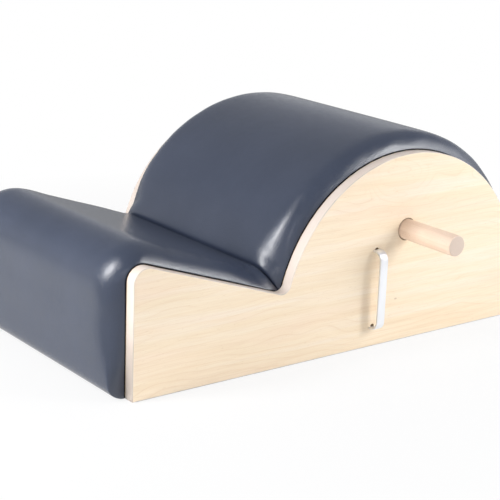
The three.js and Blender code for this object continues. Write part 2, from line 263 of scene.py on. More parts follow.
def bumps(tree, shader, height, distance, strength, under=None):
    """Lets a pattern tilt the light. Finer bumps lie over coarser ones, which go in as under."""
    made = add(tree, "ShaderNodeBump", {"Height": height, "Distance": distance, "Strength": strength})
    if under:
        tree.links.new(under.outputs[0], made.inputs["Normal"])
    tree.links.new(made.outputs[0], shader.inputs["Normal"])
    return made


def coat(tree, shader, colour, pattern, by, start):
    """Puts on the colour, and a roughness that starts at a value and grows with the pattern."""
    tree.links.new(colour, shader.inputs["Base Color"])
    tree.links.new(sums(tree, "MULTIPLY_ADD", pattern, by, start), shader.inputs["Roughness"])


# %% [markdown]
# Leather
#
# The covers are dark slate upholstery leather with a satin dressing. Up close it has a fine
# pebble grain. A Voronoi pattern on the object's own coordinates gives the pebbles the same
# size everywhere, and two soft noises vary the colour and the shine, as hands and polish do.
# The pebbles and noises of three sizes work as bumps, one over the other, which keeps the
# highlights from looking like smooth plastic.


# %% Leather
SLATE = [(0.3, srgb(53, 61, 78)), (0.5, srgb(57, 65, 83)), (0.72, srgb(62, 70, 88))]
DRESSING_IOR = 1.66
PEBBLES, WOBBLES, WOBBLE = 620, 260, 0.0009


def make_leather():
    material, tree, shader = new_material("slate_leather")
    whole = place(tree)[0]
    wobble = add(tree, "ShaderNodeTexNoise", {"Vector": whole, "Scale": WOBBLES, "Detail": 1.0})
    bending = {"Factor": WOBBLE, 4: whole, 5: wobble.outputs["Color"]}
    bent = add(tree, "ShaderNodeMix", bending, data_type="VECTOR").outputs[1]
    cells = {"Vector": bent, "Scale": PEBBLES, "Randomness": 1.0}
    pebbles = add(tree, "ShaderNodeTexVoronoi", cells, feature="DISTANCE_TO_EDGE").outputs["Distance"]
    broad = noise(tree, whole, 7.5, 3.0)
    fine = noise(tree, whole, 95, 3.0)
    colour = shade(tree, broad, SLATE)
    colour = layer(tree, times(tree, fine, 0.28), colour, srgb(49, 56, 74))
    colour = marked(tree, colour, pebbles, [(0.0, 1.0), (0.09, 0.0)], 0.22, srgb(41, 47, 61))
    coat(tree, shader, colour, fine, 0.06, sums(tree, "MULTIPLY_ADD", broad, 0.06, 0.15))
    shader.inputs["IOR"].default_value = DRESSING_IOR
    soft = bumps(tree, shader, noise(tree, whole, 24), 0.0010, 0.3)
    mottled = bumps(tree, shader, noise(tree, whole, 330, 1.0), 0.00032, 0.9, soft)
    grain = shade(tree, pebbles, [(0.0, 0.0), (0.12, 0.75), (0.5, 1.0)])
    rough = bumps(tree, shader, grain, 0.00010, 0.7, mottled)
    bumps(tree, shader, noise(tree, whole, 1900), 0.00002, 0.4, rough)
    return material


def make_painted_shade_hem():
    """Painted shade: the hem wears a matt, nearly black material, for the dark line in the groove beside the
    side.
    """
    material, tree, shader = new_material("painted_shade_hem")
    nap = noise(tree, place(tree)[0], 700, 3.0)
    colour = shade(tree, nap, [(0.3, srgb(12, 12, 14)), (0.7, srgb(26, 27, 31))])
    coat(tree, shader, colour, nap, 0.1, 0.88)
    shader.inputs["Specular IOR Level"].default_value = 0.15
    bumps(tree, shader, nap, 0.00010, 0.5)
    return material


leather = make_leather()
painted_shade_hem = make_painted_shade_hem()
print("leather", len(leather.node_tree.nodes), "nodes, edge", len(painted_shade_hem.node_tree.nodes))

# %% [markdown]
# Maple face
#
# The sides wear a pale maple face, sliced from the log so that the year rings run along the
# board and close into pointed arches. A real log explains the figure: a ring's radius at any
# point is its distance from the pith, and the pith wanders a little. So the material works out
# that distance, and draws a faint line at each year. One bold figure and one small knot stand
# where the real board has them: there the radius rises, or the colour darkens, in an ellipse.

# %% Maple face
PITH_HEIGHT, PITH_DEPTH, YEAR_RING = 0.268, 0.012, 0.0105
SWAY_UP, SWAY_DEEP = 0.085, 0.16
FIGURE, FIGURE_SIZE, FIGURE_RISE = (0.112, 0.279), (0.090, 0.042), 0.040
KNOT, KNOT_SIZE = (0.120, 0.077), (0.0042, 0.0021)
MAPLE = [(0.30, srgb(248, 227, 196)), (0.5, srgb(252, 234, 206)), (0.70, srgb(254, 239, 218))]


def in_ellipse(tree, across, up, middle, size):
    """0 in the middle of an ellipse, 1 on its rim."""
    pairs = zip((across, up), middle, size)
    return squares(tree, *[sums(tree, "DIVIDE", less(tree, v, m), s) for v, m, s in pairs])


def make_maple():
    material, tree, shader = new_material("maple_face")
    whole, x, _, z = place(tree)
    wander = grained(tree, whole, (0.26, 0.4, 0.10))
    deep = grained(tree, whole, (0.17, 0.4, 0.5), 1.0, moved=(3.1, 0, 1.7))
    patchy = grained(tree, whole, (0.20, 0.4, 0.035), 3.0, moved=(0, 0, 5))
    fibre = grained(tree, whole, (0.060, 0.02, 0.0011), 4.0, 0.62)
    streak = grained(tree, whole, (0.42, 0.3, 0.016), 3.0, 0.6, (0, 0, 9))
    blush = grained(tree, whole, (0.34, 0.3, 0.05), moved=(7, 0, 2))
    flecks = grained(tree, whole, (0.007, 0.01, 0.0016), 1.0)
    sway = sums(tree, "MULTIPLY_ADD", less(tree, wander, 0.5), SWAY_UP, z)
    depth = sums(tree, "MULTIPLY_ADD", less(tree, deep, 0.5), SWAY_DEEP, PITH_DEPTH)
    radius = sums(tree, "SQRT", squares(tree, less(tree, sway, PITH_HEIGHT), depth))
    in_figure = in_ellipse(tree, x, sway, FIGURE, FIGURE_SIZE)
    figure = shade(tree, in_figure, [(0.0, FIGURE_RISE), (1.0, 0.0)], "EASE")
    years = in_steps(tree, sums(tree, "ADD", radius, figure), YEAR_RING)
    line = shade(tree, years, [(0.0, 1.0), (0.10, 0.25), (0.55, 0.0), (0.93, 0.18), (1.0, 1.0)])
    line = times(tree, line, shade(tree, patchy, [(0.36, 0.08), (0.66, 1.0)]))
    colour = shade(tree, streak, MAPLE)
    colour = layer(tree, shade(tree, blush, [(0.5, 0.0), (0.72, 0.55)]), colour, srgb(252, 227, 203))
    colour = layer(tree, times(tree, line, 0.36), colour, srgb(226, 192, 150))
    colour = marked(tree, colour, fibre, [(0.40, 1.0), (0.58, 0.0)], 0.20, srgb(226, 198, 163))
    colour = marked(tree, colour, flecks, [(0.68, 0.0), (0.76, 1.0)], 0.22, srgb(214, 183, 146))
    in_knot = in_ellipse(tree, x, z, KNOT, KNOT_SIZE)
    knot = shade(tree, in_knot, [(0.0, 0.55), (0.35, 0.3), (1.0, 0.0)])
    colour = layer(tree, knot, colour, srgb(178, 146, 108))
    coat(tree, shader, colour, fibre, 0.14, 0.36)
    bumps(tree, shader, fibre, 0.00009, 0.5)
    return material


maple = make_maple()
print("maple", len(maple.node_tree.nodes), "nodes")

# %% [markdown]
# Edge band
#
# The cut edge of each side is covered by a thin glued band, a little pinker than the face and
# smoother. Where band and face meet, the glue line shows as a hairline of grey that comes and
# goes. The band is part of the side's mesh, on a material slot of its own.


# %% Edge band
GLUE_INSET, GLUE_WIDTH = 0.0006, 0.0008
STREAKS = [(0.38, 1.0), (0.6, 0.0)]


def make_edge_band():
    material, tree, shader = new_material("edge_band")
    whole, _, y, _ = place(tree)
    fibre = grained(tree, whole, (0.011, 0.0009, 0.011), 4.0, 0.6)
    broad = noise(tree, whole, 14)
    colour = shade(tree, broad, [(0.3, srgb(238, 222, 208)), (0.7, srgb(244, 231, 220))])
    colour = marked(tree, colour, fibre, STREAKS, 0.16, srgb(222, 198, 178))
    from_middle = sums(tree, "ABSOLUTE", y)
    from_glue = sums(tree, "ABSOLUTE", less(tree, from_middle, OUTER_FACE - GLUE_INSET))
    glue = shade(tree, sums(tree, "DIVIDE", from_glue, GLUE_WIDTH), [(0.2, 1.0), (1.0, 0.0)])
    comes = shade(tree, noise(tree, whole, 21), [(0.40, 0.25), (0.62, 1.0)])
    glue = times(tree, glue, times(tree, comes, 0.75))
    coat(tree, shader, layer(tree, glue, colour, srgb(176, 168, 152)), fibre, 0.12, 0.28)
    bumps(tree, shader, fibre, 0.00005, 0.4)
    return material


edge_band = make_edge_band()
print("edge band", len(edge_band.node_tree.nodes), "nodes")

# %% [markdown]
# Plywood
#
# The hidden boards are birch plywood. Its plies show on every cut edge as stripes, light where
# the grain runs along the edge and darker where it ends there. The stripes have to follow each
# board's own thickness: across the object for the ribs, along it for the front board, square to
# the slope for the seat deck, and outwards from the barrel's centre for the bent deck. One
# recipe takes that depth as input.

# %% Plywood
PLY = 0.0015
DARK_PLY = [(0.46, 0.0), (0.5, 1.0), (0.96, 1.0), (1.0, 0.0)]
GLUE_FILM = [(0.0, 1.0), (0.07, 0.0), (0.93, 0.0), (1.0, 1.0)]


def make_plywood(name, depth_of, along=(0.05, 0.05, 0.002), painted_hole_shade=0.0):
    material, tree, shader = new_material(name)
    whole, x, y, z = place(tree)
    depth = depth_of(tree, x, y, z)
    fibre = grained(tree, whole, along, 4.0, 0.6)
    broad = noise(tree, whole, 9, 3.0)
    colour = shade(tree, broad, [(0.3, srgb(220, 193, 152)), (0.7, srgb(234, 211, 174))])
    pairs, plies = in_steps(tree, depth, 2 * PLY), in_steps(tree, depth, PLY)
    colour = marked(tree, colour, pairs, DARK_PLY, 0.30, srgb(188, 150, 104))
    colour = marked(tree, colour, plies, GLUE_FILM, 0.45, srgb(120, 88, 56))
    colour = marked(tree, colour, fibre, STREAKS, 0.35, srgb(196, 163, 118))
    # A share of painted shade, dark brown, for the walls of holes, where the gap round a peg or screw lies
    # in shade.
    coat(tree, shader, layer(tree, painted_hole_shade, colour, srgb(58, 38, 24)), fibre, 0.2, 0.6)
    bumps(tree, shader, fibre, 0.0002, 0.5)
    return material


def depth_across(tree, _x, y, _z):
    return sums(tree, "ABSOLUTE", y)


def depth_along(tree, x, _y, _z):
    return sums(tree, "ADD", x, LENGTH / 2)


def depth_under_slope(tree, x, _y, z):
    return sums(tree, "MULTIPLY_ADD", x, SIN, times(tree, z, COS))


def depth_from_barrel(tree, x, _y, z):
    out, up = less(tree, x, BARREL_X - LENGTH / 2), less(tree, z, BARREL_Z)
    return sums(tree, "SQRT", squares(tree, out, up))


ply_ribs = make_plywood("plywood_ribs", depth_across)
ply_front = make_plywood("plywood_front", depth_along, (0.002, 0.05, 0.002))
ply_seat = make_plywood("plywood_seat", depth_under_slope, (0.05, 0.002, 0.05))
ply_barrel = make_plywood("plywood_barrel", depth_from_barrel, (0.05, 0.002, 0.05))
print("plywood nodes", [len(m.node_tree.nodes) for m in (ply_ribs, ply_front, ply_seat, ply_barrel)])

# %% [markdown]
# Beech
#
# Pegs and rails are beech: pinkish tan, straight grained, with short dark flecks along the
# grain and fine rings on the end. The grain runs across the object, along Y. A peg's end shows
# its rings because they are circles round a pith that lies beside the peg's axis.

# %% Beech
BEECH_RING, BEECH_SWAY = 0.0034, 0.004
END_START, END_FADE = 0.0007, 0.0006
NO_END = 10.0
RING_COLOUR, FIBRE_COLOUR, FLECK_COLOUR = srgb(206, 164, 126), srgb(204, 166, 131), srgb(171, 124, 88)


def make_beech(name, light, dark, pith, end=NO_END, figure=0.26):
    """Grain along Y round a pith at (x, z). End grain, from end outwards, is a shade darker."""
    material, tree, shader = new_material(name)
    whole, x, y, z = place(tree)
    wander = grained(tree, whole, (0.03, 0.12, 0.03))
    fibre = grained(tree, whole, (0.0009, 0.045, 0.0009), 3.0, 0.6)
    flecks = grained(tree, whole, (0.0011, 0.0042, 0.0011), 1.0)
    broad = grained(tree, whole, (0.02, 0.07, 0.02))
    from_pith = sums(tree, "SQRT", squares(tree, less(tree, x, pith[0]), less(tree, z, pith[1])))
    years = in_steps(tree, sums(tree, "MULTIPLY_ADD", wander, BEECH_SWAY, from_pith), BEECH_RING)
    ring = [(0.0, 0.0), (0.75, 0.35), (0.95, 1.0), (1.0, 0.0)]
    colour = shade(tree, broad, [(0.3, dark), (0.68, light)])
    colour = marked(tree, colour, years, ring, figure, RING_COLOUR)
    colour = marked(tree, colour, fibre, STREAKS, figure * 0.8, FIBRE_COLOUR)
    colour = marked(tree, colour, flecks, [(0.66, 0.0), (0.74, 1.0)], 0.30, FLECK_COLOUR)
    past_end = less(tree, sums(tree, "ABSOLUTE", y), end - END_START)
    at_end = shade(tree, sums(tree, "DIVIDE", past_end, END_FADE), [(0.0, 0.0), (1.0, 0.8)])
    coat(tree, shader, layer(tree, at_end, colour, srgb(212, 194, 180)), fibre, 0.2, 0.38)
    bumps(tree, shader, fibre, 0.00010, 0.5)
    return material


peg_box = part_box("hand_peg_right")
PEG = ((peg_box[0] + peg_box[1]) / 2).xz
PEG_END = max(abs(c.y) for c in peg_box)
PEG_PITH = (PEG[0] + 0.034, PEG[1] - 0.021)
RAIL_PITH = (0.0, -0.12)
peg_beech = make_beech(
    "peg_beech", srgb(247, 224, 204), srgb(240, 213, 191), PEG_PITH, PEG_END, figure=0.14
)
rail_beech = make_beech("rail_beech", srgb(236, 207, 172), srgb(226, 190, 150), RAIL_PITH)
print("beech grain round", [round(v, 4) for v in PEG_PITH])

# %% [markdown]
# Metals, rubber and foam
#
# The bow handle is satin aluminium, brushed along its length, so its noise is stretched along
# Z. Bolts and screws are zinc plated steel with a slightly cloudy face, inserts are turned
# brass, the strip under each side is grey rubber, and the foam has open cells.


# %% Metals, rubber and foam
def make_metal(name, light, dark, shine, brushed):
    material, tree, shader = new_material(name)
    whole = place(tree)[0]
    brush = grained(tree, whole, brushed, 3.0, 0.6)
    cloud = noise(tree, whole, 60)
    rough = sums(tree, "MULTIPLY_ADD", brush, 0.14, shine)
    coat(tree, shader, layer(tree, brush, dark, light), cloud, 0.08, rough)
    shader.inputs["Metallic"].default_value = 1.0
    bumps(tree, shader, brush, 0.00003, 0.4)
    return material


def make_grainy(name, light, dark, cell, depth, rough):
    material, tree, shader = new_material(name)
    whole = place(tree)[0]
    cells = add(tree, "ShaderNodeTexVoronoi", {"Vector": whole, "Scale": 1 / cell}).outputs["Distance"]
    broad = noise(tree, whole, 30, 3.0)
    colour = layer(tree, shade(tree, cells, [(0.1, 0.0), (0.8, 1.0)]), light, dark)
    coat(tree, shader, layer(tree, times(tree, broad, 0.4), colour, dark), broad, 0.12, rough)
    bumps(tree, shader, cells, depth, 0.6)
    return material


ALONG_Z, TURNED, CLOUDY = (0.0006, 0.0006, 0.05), (0.002, 0.0004, 0.002), (0.002, 0.002, 0.002)
aluminium = make_metal("satin_aluminium", srgb(251, 252, 254), srgb(236, 238, 243), 0.32, ALONG_Z)
steel = make_metal("zinc_steel", srgb(214, 217, 222), srgb(176, 180, 186), 0.28, CLOUDY)
brass = make_metal("turned_brass", srgb(222, 186, 108), srgb(186, 148, 74), 0.28, TURNED)
rubber = make_grainy("grey_rubber", srgb(196, 194, 186), srgb(160, 158, 150), 0.0012, 0.0001, 0.75)
foam = make_grainy("open_cell_foam", srgb(243, 235, 196), srgb(214, 203, 158), 0.0016, 0.0008, 0.85)
print("metals", len(steel.node_tree.nodes), "nodes each, rubber and foam", len(foam.node_tree.nodes))

# %% [markdown]
# Boards that keep their solids
#
# Ribs, decks, rails and strips are already right in shape, and stay as the frame gives them.
# They only get their material. A board's solid is never touched here.

# %% Finish the plain boards
BOARD_FINISHES = (
    (ply_ribs, "inner_rib_left inner_rib_right centre_rib peg_socket_left peg_socket_right"),
    (ply_front, "front_board"),
    (ply_seat, "seat_deck"),
    (ply_barrel, "barrel_deck"),
    (rail_beech, "corner_nosing front_rail valley_rail crown_rail back_rail"),
    (rubber, "base_strip_left base_strip_right"),
)
for material, names in BOARD_FINISHES:
    for name in names.split():
        nodes[name].data.materials.clear()
        nodes[name].data.materials.append(material)
    print(material.name, "on", names)

# %% [markdown]
# The two sides
#
# Each side is a board cut to the outline, with a hole for the peg and one for each handle
# screw. A plain extrusion would have razor edges that never catch the light. So the wall is
# built in rings: each ring is the outline moved in a little, and a quarter round of them
# softens both arrises. One more ring lies flat on the face, so that its shading stays flat.


# %% Outline of a side
CORNER_STEPS, VALLEY_STEPS, BARREL_STEPS = 16, 12, 150


def side_outline():
    """Points of the outline, clockwise from the front foot, in the row frame."""
    centre = valley(VALLEY_RADIUS)
    turn = barrel_angle(centre)
    front = corner_centre(0, CORNER_RADIUS)
    barrel = (BARREL_X, BARREL_Z)
    points = [
        (0.0, BASE),
        *arc(front, CORNER_RADIUS, math.pi, SLOPE_NORMAL, CORNER_STEPS),
        *arc(centre, VALLEY_RADIUS, SLOPE_NORMAL + math.pi, turn + math.pi, VALLEY_STEPS),
        *arc(barrel, BARREL_RADIUS, turn, 0.0, BARREL_STEPS)[1:],
        (LENGTH, BASE),
    ]
    return [(x - LENGTH / 2, z) for x, z in points]


def moved_in(loop, distance):
    """The loop moved to its inner side by a distance, corners mitred. The loop is clockwise."""
    points = np.array(loop)
    edges = points - np.roll(points, 1, axis=0)
    edges /= np.linalg.norm(edges, axis=1)[:, None]
    before = np.stack([edges[:, 1], -edges[:, 0]], axis=1)
    after = np.roll(before, -1, axis=0)
    mitre = (before + after) / (1 + (before * after).sum(axis=1))[:, None]
    return points + mitre * distance


outline = side_outline()
print("outline points", len(outline))

# %% Build a side
ARRIS, HOLE_ARRIS, ARRIS_STEPS = 0.0007, 0.0006, 4
FLAT_RING = 0.0004


def wall_rings(loop, y0, y1, arris):
    """Rings from one face to the other, as 3-D points. y0 and y1 are the two faces."""
    way = 1 if y1 > y0 else -1
    angles = [math.pi / 2 * i / ARRIS_STEPS for i in range(ARRIS_STEPS + 1)]
    quarter = [(arris * (1 - math.sin(a)), way * arris * (1 - math.cos(a))) for a in angles]
    stations = [
        (arris + FLAT_RING, y0), *[(inset, y0 + deep) for inset, deep in quarter],
        *[(inset, y1 - deep) for inset, deep in reversed(quarter)], (arris + FLAT_RING, y1),
    ]
    return [[(x, y, z) for x, z in moved_in(loop, inset)] for inset, y in stations]


def ended(bm, name, *materials):
    """Ends a bmesh as an object with its materials."""
    mesh = bpy.data.meshes.new(name)
    bm.to_mesh(mesh)
    bm.free()
    for material in materials:
        mesh.materials.append(material)
    return placed(name, mesh)


def cut_board(name, loop, holes, y0, y1, *materials):
    """A flat board between two faces, with soft arrises. Holes are loops the other way round.
    The materials are the face's, the outer edge's and that of the holes' walls."""
    bm = bmesh.new()
    faces = ([], [])
    loops = [(loop, ARRIS, 1), *[(hole, HOLE_ARRIS, 2) for hole in holes]]
    for outline_loop, arris, wall in loops:
        rings = [[bm.verts.new(p) for p in ring] for ring in wall_rings(outline_loop, y0, y1, arris)]
        for lower, upper in zip(rings, rings[1:]):
            for i in range(len(lower)):
                j = (i + 1) % len(lower)
                face = bm.faces.new((lower[i], lower[j], upper[j], upper[i]))
                face.material_index = wall
                face.smooth = True
        for edges, ring in zip(faces, (rings[0], rings[-1])):
            edges += [bm.edges.get((ring[i], ring[(i + 1) % len(ring)])) for i in range(len(ring))]
    for edges in faces:
        made = bmesh.ops.triangle_fill(bm, use_beauty=True, edges=edges)
        for face in (g for g in made["geom"] if isinstance(g, bmesh.types.BMFace)):
            face.material_index = 0
    bmesh.ops.recalc_face_normals(bm, faces=bm.faces)
    return ended(bm, name, *materials)


def circle(centre, radius, count):
    """Points round a circle against the clock, so that moving them in widens a hole."""
    return [on_circle(centre, radius, 2 * math.pi * i / count) for i in range(count)]


# The holes' walls are plywood darkened deep brown by painted shade: the dark ring round the peg and the dark
# spots above the handle's feet.
hole_wall_shaded = make_plywood("hole_wall_painted_shade", depth_across, (0.002, 0.05, 0.002), 0.42)
PEG_HOLE, PEG_HOLE_SIDES = 0.0185, 64
HANDLE_HOLE, HANDLE_HOLE_SIDES, HANDLE_HOLE_SHIFT = 0.0034, 24, 0.001
HANDS = (("left", 1), ("right", -1))
for hand, way in HANDS:
    holes = [circle(PEG, PEG_HOLE, PEG_HOLE_SIDES)]
    for end in ("upper", "lower"):
        low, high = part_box(f"handle_screw_{hand}_{end}")
        centre = (low.x + high.x) / 2, (low.z + high.z) / 2 + HANDLE_HOLE_SHIFT
        holes.append(circle(centre, HANDLE_HOLE, HANDLE_HOLE_SIDES))
    side = cut_board(
        f"side_{hand}", outline, holes, way * INNER_FACE, way * OUTER_FACE, maple, edge_band, hole_wall_shaded
    )
    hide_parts(f"side_panel_{hand}")
    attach(side, "frame")
    print(side.name, "faces", len(side.data.polygons))

# %% [markdown]
# Hand pegs
#
# Each peg is a turned beech dowel that slides into a socket. It is made as a turner makes it:
# a profile from the centre of one end to the centre of the other, spun round the peg's axis.
# The outer rim has a small round, and the inner end, out of sight, a small chamfer.

# %% Hand pegs
PEG_RADIUS, PEG_SIDES = 0.0175, 64
RIM, RIM_STEPS, CHAMFER, END_RING = 0.0022, 5, 0.001, 0.0006


def spun(name, profile, centre, way, material):
    """Spins a profile of (radius, distance along Y) round an axis through centre."""
    bm = bmesh.new()
    rings = []
    for radius, along in profile:
        places = circle(centre, radius, PEG_SIDES) if radius else [tuple(centre)]
        rings.append([bm.verts.new((x, way * along, z)) for x, z in places])
    for lower, upper in zip(rings, rings[1:]):
        for i in range(PEG_SIDES):
            j = (i + 1) % PEG_SIDES
            corners = [lower[i % len(lower)], lower[j % len(lower)]]
            corners += [upper[j % len(upper)], upper[i % len(upper)]]
            face = bm.faces.new(list(dict.fromkeys(corners)))
            face.smooth = True
    bmesh.ops.recalc_face_normals(bm, faces=bm.faces)
    return ended(bm, name, material)


def peg_profile(start, end):
    """From the middle of the inner end, over its chamfer, to the rounded rim and the outer end."""
    angles = [math.pi / 2 * i / RIM_STEPS for i in range(RIM_STEPS + 1)]
    rim = [(PEG_RADIUS - RIM * (1 - math.cos(a)), end - RIM * (1 - math.sin(a))) for a in angles]
    return [
        (0, start), (PEG_RADIUS - 2 * CHAMFER, start), (PEG_RADIUS - CHAMFER, start),
        (PEG_RADIUS, start + CHAMFER), (PEG_RADIUS, start + 2 * CHAMFER),
        (PEG_RADIUS, end - 2 * RIM), *rim, (PEG_RADIUS - RIM - END_RING, end), (0, end),
    ]


for hand, way in HANDS:
    low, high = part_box(f"hand_peg_{hand}")
    start, end = sorted((abs(low.y), abs(high.y)))
    peg = spun(f"peg_{hand}", peg_profile(start, end), PEG, way, peg_beech)
    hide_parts(f"hand_peg_{hand}")
    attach(peg, f"peg_{hand}")
    print(peg.name, "length", round(end - start, 4))

# %% [markdown]
# Geometry Nodes, in short
#
# A node tree can also make shapes. Each tree here is written by a small builder that adds
# nodes, joins them and gives the group named inputs. The modifier's inputs are then set by
# their identifiers, and the finished shape is turned into a plain mesh.


# %% Geometry Nodes helpers
def new_tree(name, numbers, vectors=()):
    """A node group that takes a geometry and the named inputs, and gives a geometry."""
    tree = bpy.data.node_groups.new(name, "GeometryNodeTree")
    kinds = [("Geometry", "Geometry"), *[(n, "Float") for n in numbers], *[(v, "Vector") for v in vectors]]
    for label, kind in kinds:
        socket = tree.interface.new_socket(label, in_out="INPUT", socket_type="NodeSocket" + kind)
        if label in numbers:
            socket.default_value = numbers[label]
    tree.interface.new_socket("Geometry", in_out="OUTPUT", socket_type="NodeSocketGeometry")
    source = tree.nodes.new("NodeGroupInput")
    result = tree.nodes.new("NodeGroupOutput")
    return tree, source.outputs, result.inputs


def step(tree, kind, inputs, **settings):
    """Adds one of the geometry nodes and gives its first output."""
    return add(tree, "GeometryNode" + kind, inputs, **settings).outputs[0]


def finish_tree(tree, result, geometry, material):
    """Makes instances real, gives them their material, and ends the tree."""
    real = step(tree, "RealizeInstances", {0: geometry})
    dressed = step(tree, "SetMaterial", {"Geometry": real, "Material": material})
    tree.links.new(dressed, result[0])
    return tree


def grow(name, base_mesh, tree, values):
    """Runs the tree on a mesh and returns its result as a plain mesh object."""
    carrier = placed(name + "_base", base_mesh)
    modifier = carrier.modifiers.new("grow", "NODES")
    modifier.node_group = tree
    for item in tree.interface.items_tree:
        if item.item_type == "SOCKET" and item.in_out == "INPUT" and item.name in values:
            modifier[item.identifier] = values[item.name]
    deps = bpy.context.evaluated_depsgraph_get()
    mesh = bpy.data.meshes.new_from_object(carrier.evaluated_get(deps), depsgraph=deps)
    mesh.name = name
    bpy.data.objects.remove(carrier)
    return placed(name, mesh)


def points_mesh(name, points, edges=(), faces=()):
    mesh = bpy.data.meshes.new(name)
    mesh.from_pydata([tuple(p) for p in points], list(edges), list(faces))
    return mesh


def turned_out(mesh, merged=0.0):
    """Turns all faces outwards, after points closer than a distance are merged."""
    bm = bmesh.new()
    bm.from_mesh(mesh)
    if merged:
        bmesh.ops.remove_doubles(bm, verts=bm.verts, dist=merged)
    bmesh.ops.recalc_face_normals(bm, faces=bm.faces)
    bm.to_mesh(mesh)
    bm.free()


# %% [markdown]
# Bow handles
#
# The handle is one flat strip, bent at both ends and screwed on from inside. It follows a
# path, so Geometry Nodes sweep a rounded bar section along it: the path is a bent line with
# filleted corners, and the section is a rectangle with its corners rounded off.

# %% Bow handles
STRIP_WIDTH, STRIP_THICKNESS, STRIP_BEND, STRIP_CORNER = 0.016, 0.0038, 0.0165, 0.0011
BEND_STEPS, CORNER_CUTS, SHARP, SAME_PLACE = 12, 4, math.radians(40), 1e-6


def bow_tree():
    sizes = {"Width": STRIP_WIDTH, "Thickness": STRIP_THICKNESS, "Bend": STRIP_BEND, "Corner": STRIP_CORNER}
    tree, given, result = new_tree("bow_strip", sizes)
    path = step(tree, "MeshToCurve", {0: given["Geometry"]})
    bend = {"Curve": path, "Radius": given["Bend"], "Count": BEND_STEPS}
    path = step(tree, "FilletCurve", bend, mode="POLY")
    flat = {"Width": given["Width"], "Height": given["Thickness"]}
    bar = step(tree, "CurvePrimitiveQuadrilateral", flat)
    corner = {"Curve": bar, "Radius": given["Corner"], "Count": CORNER_CUTS}
    bar = step(tree, "FilletCurve", corner, mode="POLY")
    strip = step(tree, "CurveToMesh", {"Curve": path, "Profile Curve": bar, "Fill Caps": True})
    return finish_tree(tree, result, step(tree, "SetShadeSmooth", {0: strip}), aluminium)


bow = bow_tree()
half = STRIP_THICKNESS / 2
for hand, way in HANDS:
    low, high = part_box(f"pull_handle_{hand}")
    x = (low.x + high.x) / 2
    near, far = sorted((abs(low.y), abs(high.y)))
    path = [
        (x, way * near, high.z - half), (x, way * (far - half), high.z - half),
        (x, way * (far - half), low.z + half), (x, way * near, low.z + half),
    ]
    path_mesh = points_mesh(f"handle_path_{hand}", path, [(0, 1), (1, 2), (2, 3)])
    handle = grow(f"handle_{hand}", path_mesh, bow, {"Bend": STRIP_BEND - half})
    turned_out(handle.data, SAME_PLACE)
    handle.data.set_sharp_from_angle(angle=SHARP)
    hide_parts(f"pull_handle_{hand}")
    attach(handle, "frame")
    size = np.ptp([v.co[:] for v in handle.data.vertices], axis=0)
    print(handle.name, "size in mm", (size * 1000).round(1), "cad", [round(s * 1000, 1) for s in high - low])

# %% [markdown]
# Bolts, screws, washers and inserts
#
# Thirty two small fixings hold the object together, all out of sight. They repeat, so one
# node tree makes a turned shape with a round recess and sets a copy on each given point.
# The frame's own boxes say where each one stands, which way it points and how long it is.


# %% Fixings
HEAD_SIDES, SHANK_SIDES, RECESS_SHARE = 24, 16, 0.6


def extruded(tree, mesh, by, **selection):
    """Pushes faces out. Gives the new mesh and its top faces."""
    return add(
        tree, "GeometryNodeExtrudeMesh", {"Mesh": mesh, "Offset Scale": by, **selection}, mode="FACES"
    ).outputs


def both(tree, *parts):
    """Several geometries as one."""
    made = add(tree, "GeometryNodeJoinGeometry")
    for part in parts:
        tree.links.new(part, made.inputs[0])
    return made.outputs[0]


def fixing_tree(material):
    sizes = {
        "Head radius": 0.006, "Head height": 0.004, "Shank radius": 0.003, "Shank length": 0.02,
        "Recess radius": 0.003, "Recess depth": 0.002,
    }
    tree, given, result = new_tree("fixing", sizes, ["Turn"])
    circle_sizes = {"Vertices": HEAD_SIDES, "Radius": given["Head radius"]}
    disc = step(tree, "MeshCircle", circle_sizes, fill_type="NGON")
    under = step(tree, "FlipFaces", {0: disc})
    head = extruded(tree, disc, given["Head height"])
    rim = extruded(tree, head[0], 0.0, Selection=head[1])
    share = sums(tree, "DIVIDE", given["Recess radius"], given["Head radius"])
    closing = {"Geometry": rim[0], "Selection": rim[1], "Scale": share}
    closed_in = step(tree, "ScaleElements", closing, domain="FACE")
    recess = extruded(tree, closed_in, times(tree, given["Recess depth"], -1.0), Selection=rim[1])[0]
    head = step(tree, "MergeByDistance", {0: both(tree, recess, under), "Distance": SAME_PLACE})
    rod = {"Vertices": SHANK_SIDES, "Radius": given["Shank radius"], "Depth": given["Shank length"]}
    back = add(tree, "ShaderNodeCombineXYZ", {2: times(tree, given["Shank length"], -0.5)}).outputs[0]
    shank = step(tree, "Transform", {"Geometry": step(tree, "MeshCylinder", rod), "Translation": back})
    whole = both(tree, head, shank)
    copies = {"Points": given["Geometry"], "Instance": whole, "Rotation": given["Turn"]}
    return finish_tree(tree, result, step(tree, "InstanceOnPoints", copies), material)


fixing = fixing_tree(steel)


